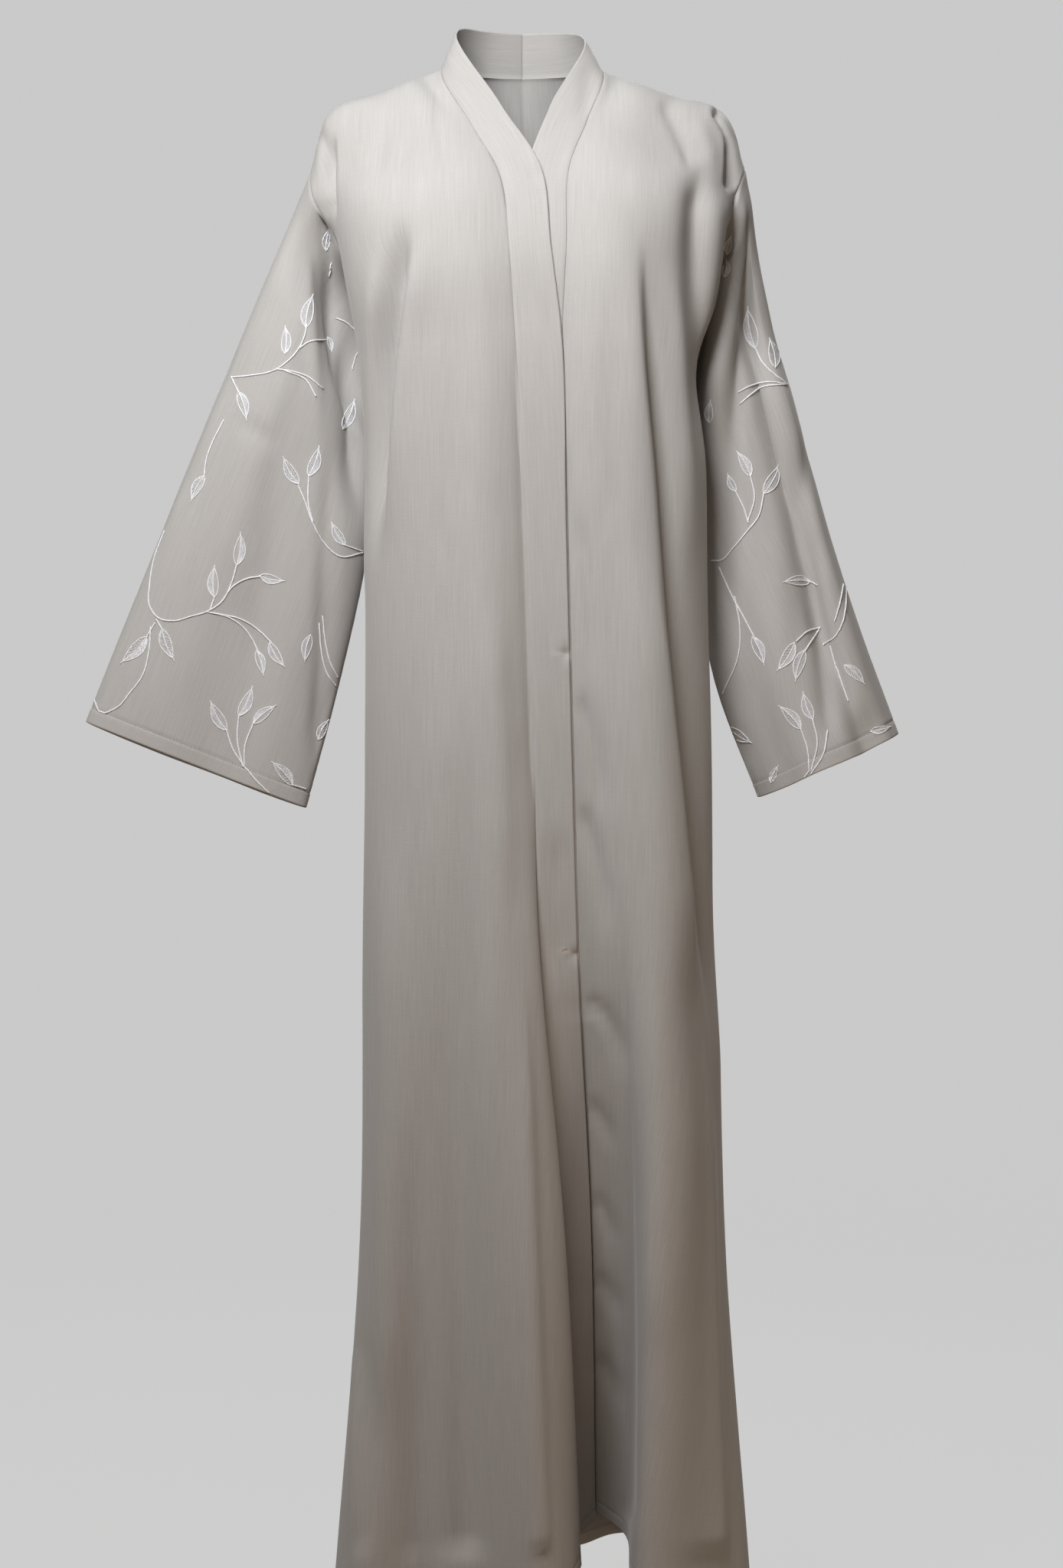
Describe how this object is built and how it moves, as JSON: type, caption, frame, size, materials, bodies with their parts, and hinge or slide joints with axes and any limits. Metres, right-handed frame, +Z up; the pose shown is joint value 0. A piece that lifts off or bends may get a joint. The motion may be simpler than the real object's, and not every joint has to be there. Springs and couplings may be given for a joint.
{
  "type": "abaya cloak",
  "caption": "Hollow open-front abaya cloak in its worn form, with a band collar that runs on as the front bands, hidden snaps and wide embroidered sleeves.",
  "frame": {"origin": "between the wearer's shoulders, level with the foot of the neck, where the cloak is held up", "axes": "+Z up, the front faces -Y, +X is the wearer's left"},
  "size_m": [0.7794, 0.3062, 1.5033],
  "materials": {
    "body_cloth": "plain linen-look weave, matt with a faint sheen",
    "band_cloth": "the same weave, pressed flat",
    "sleeve_cloth": "the same weave, under silvery embroidery",
    "snap_metal": "satin metal"
  },
  "bodies": {
    "root": {"back_panel": "body_cloth", "front_right_panel": "body_cloth", "front_left_panel": "body_cloth", "band_right": "band_cloth", "band_left": "band_cloth", "sleeve_right": "sleeve_cloth", "sleeve_left": "sleeve_cloth", "snap_stud_1": "snap_metal", "snap_socket_1": "snap_metal", "snap_stud_2": "snap_metal", "snap_socket_2": "snap_metal", "snap_stud_3": "snap_metal", "snap_socket_3": "snap_metal"}
  },
  "joints": []
}
